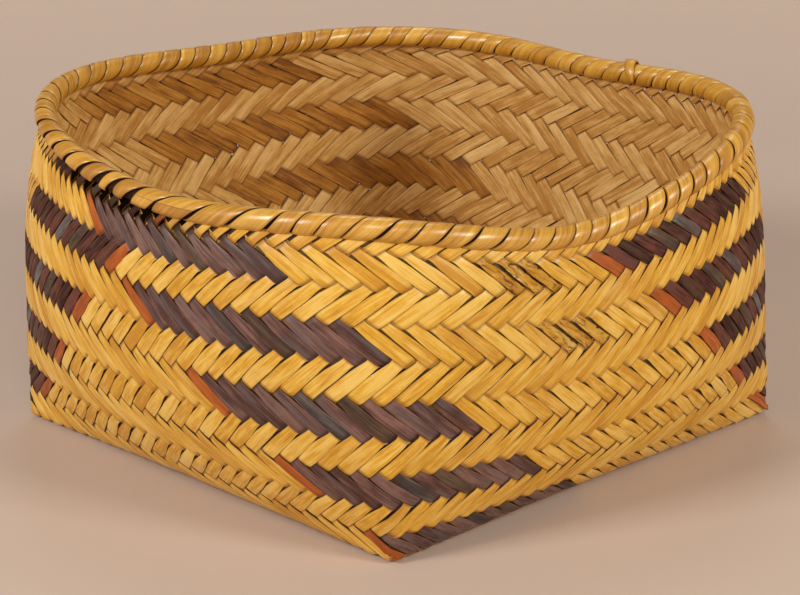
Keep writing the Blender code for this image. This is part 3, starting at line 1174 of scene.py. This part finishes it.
@dataclass
class SpliceEnd:
    """The cut end of an orange splint that stands off the right corner.

    Each row of its path is a place round the basket in quarters, a share of the way up, how far it
    stands off the wall and the share of its width.
    """

    shape: BasketShape
    stock: CaneStock
    width: float = 0.0022
    thickness: float = 0.0009
    grain_width: float = 4.2
    grain_step: float = 2.0
    path: tuple = (
        (0.925, 0.115, 0.0008, 0.90), (0.945, 0.088, 0.0016, 1.00), (0.963, 0.063, 0.0019, 1.00),
        (0.974, 0.042, 0.0020, 1.00), (0.981, 0.029, 0.0022, 0.98), (0.986, 0.020, 0.0026, 0.92),
    )

    def build(self) -> None:
        """Makes the piece."""
        quarter, rise, off, taper = np.array(self.path).T
        wall = self.shape.set_down(self.shape.wall(quarter, rise))
        out = unit(wall * (1, 1, 0))
        line = wall + out * off[:, None]
        ahead = unit(np.gradient(line, axis=0))
        side = unit(np.cross(out, ahead))
        face = unit(np.cross(ahead, side))
        share = np.array((-0.5, -0.44, 0.44, 0.5, 0.5, 0.44, -0.44, -0.5))
        height = np.array((0.3, 0.5, 0.5, 0.3, -0.3, -0.5, -0.5, -0.3)) * self.thickness
        rings = (
            line[:, None, :]
            + (share * (self.width * taper)[:, None])[..., None] * side[:, None, :]
            + height[None, :, None] * face[:, None, :]
        )
        run = (np.arange(len(line)) * self.grain_step)[:, None]
        bar = plain_bar(rings, share * 2, (share * self.grain_width, run, 31.0))
        piece = bar.build("splice_cut_end", [self.stock.rinds[Dye.ORANGE]])
        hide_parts("splice_end")
        LOG.info("splice end: 1")


@dataclass
class Studio:
    """The paper sweep, the soft lamps and the camera.

    Places are corner-on. The paper is flat, then a shallow bowl, and stands up far out. A lamp is its
    name, place, size, watts and tint.
    """

    shape: BasketShape
    distance: float = 0.910
    target_height: float = 0.056
    elevation: float = 21.05
    focal: float = 109.4
    sensor: float = 36.0
    rise: float = -0.0281
    paper: Colour = srgb(204, 186, 174)
    paper_drop: float = 0.0004
    paper_sides: int = 64
    flat_rings: tuple = ((0.2, 0.0), (0.4, 0.0))
    bowl: float = 0.95
    bowl_step: float = 0.05
    bowl_rings: int = 8
    far_rings: tuple = ((1.2, 0.34), (1.6, 0.50), (2.0, 0.68), (2.3, 0.96), (2.5, 1.5), (2.6, 3.4))
    aim_height: float = 0.06
    lamps: tuple = (
        ("left_lamp", (-1.46, -0.92, 1.14), 0.50, 23.0, (1.0, 0.97, 0.91)),
        ("right_lamp", (1.46, -0.96, 1.06), 0.50, 18.0, (1.0, 0.94, 0.81)),
        ("front_lamp", (0.15, -1.65, 1.35), 0.60, 7.5, (1.0, 0.97, 0.91)),
        ("back_lamp", (0.0, 0.75, 1.30), 0.60, 3.5, (1.0, 0.98, 0.95)),
    )
    room_light: float = 0.14
    room_tint: Colour = (1.0, 0.96, 0.92)

    def _corner_on(self, x: float, y: float, z: float) -> Vector:
        """Turns a corner-on place, without the sheet's lift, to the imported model's frame."""
        point = self.shape.set_down(np.array((x, y, z - self.shape.sheet / 2)))
        return Vector(point.tolist())

    def _hang(self, name: str, data: bpy.types.ID, spot: Vector, target: Vector) -> bpy.types.Object:
        """Puts a camera or lamp in the scene so that it faces a target.

        Args:
            name: Its name.
            data: The camera's or lamp's data.
            spot: Its place.
            target: What it faces.

        Returns:
            The object.
        """
        item = bpy.data.objects.new(name, data)
        item.location = spot
        item.rotation_euler = (target - spot).to_track_quat("-Z", "Y").to_euler()
        bpy.context.scene.collection.objects.link(item)
        return item

    def camera(self) -> None:
        """Sets the camera at the photograph's angle."""
        data = bpy.data.cameras.new("photo_camera")
        data.lens, data.sensor_width, data.sensor_fit = self.focal, self.sensor, "HORIZONTAL"
        data.shift_y = self.rise
        tilt = math.radians(self.elevation)
        height = self.target_height + self.shape.sheet / 2
        spot = self._corner_on(0, -self.distance * math.cos(tilt), height + self.distance * math.sin(tilt))
        bpy.context.scene.camera = self._hang("photo_camera", data, spot, self._corner_on(0, 0, height))

    def sweep(self) -> None:
        """Lays the paper: flat under the basket, rising gently and then steeply all round."""
        out = self.bowl_step * np.arange(1, self.bowl_rings + 1)
        bowl = np.stack([self.flat_rings[-1][0] + out, self.bowl * out ** 2], axis=1)
        profile = np.vstack([self.flat_rings, bowl, self.far_rings])
        grid = (len(profile), self.paper_sides)
        radius, height = profile.T[..., None]
        turn = 2 * math.pi * np.arange(self.paper_sides) / self.paper_sides
        points = stacked(grid, radius * np.cos(turn), radius * np.sin(turn), height - self.paper_drop)
        faces = [[*range(self.paper_sides)], *ring_quads(len(profile) - 1, *grid)]
        mesh = bpy.data.meshes.new("paper_sweep")
        mesh.from_pydata(points.reshape(-1, 3).tolist(), [], faces)
        mesh.materials.append(BackdropFinish("backdrop_paper", self.paper).build())
        mesh.shade_smooth()
        paper = bpy.data.objects.new("paper_sweep", mesh)
        bpy.context.scene.collection.objects.link(paper)

    def light(self) -> None:
        """Hangs the soft square lamps, which face the basket, and sets the even light of the room."""
        target = self._corner_on(0, 0, self.aim_height)
        for name, place, size, power, tint in self.lamps:
            data = bpy.data.lights.new(name, "AREA")
            data.shape, data.size, data.energy, data.color = "SQUARE", size, power, tint
            self._hang(name, data, self._corner_on(*place), target)
        world = bpy.data.worlds.new("room_light")
        world.use_nodes = True
        shade = world.node_tree.nodes["Background"]
        shade.inputs["Color"].default_value = (*self.room_tint, 1)
        shade.inputs["Strength"].default_value = self.room_light
        bpy.context.scene.world = world

    def build(self) -> None:
        """Sets up the camera, the paper and the light."""
        self.camera()
        self.sweep()
        self.light()
        bpy.context.scene.view_settings.view_transform = "Standard"
        LOG.info("studio: camera, paper and lamps")


def main() -> None:
    """Builds the basket's pieces in order, then the studio."""
    logging.basicConfig(level=logging.INFO, format="%(name)s: %(message)s")
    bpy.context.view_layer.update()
    shape = BasketShape()
    stock = CaneStock()
    line = RimLine(shape)
    PlaitedBody(shape, stock).build()
    roll = RimRoll(line, stock)
    roll.hoops()
    roll.binder()
    roll.tuck()
    SpliceEnd(shape, stock).build()
    Studio(shape).build()


if __name__ == "__main__":
    main()
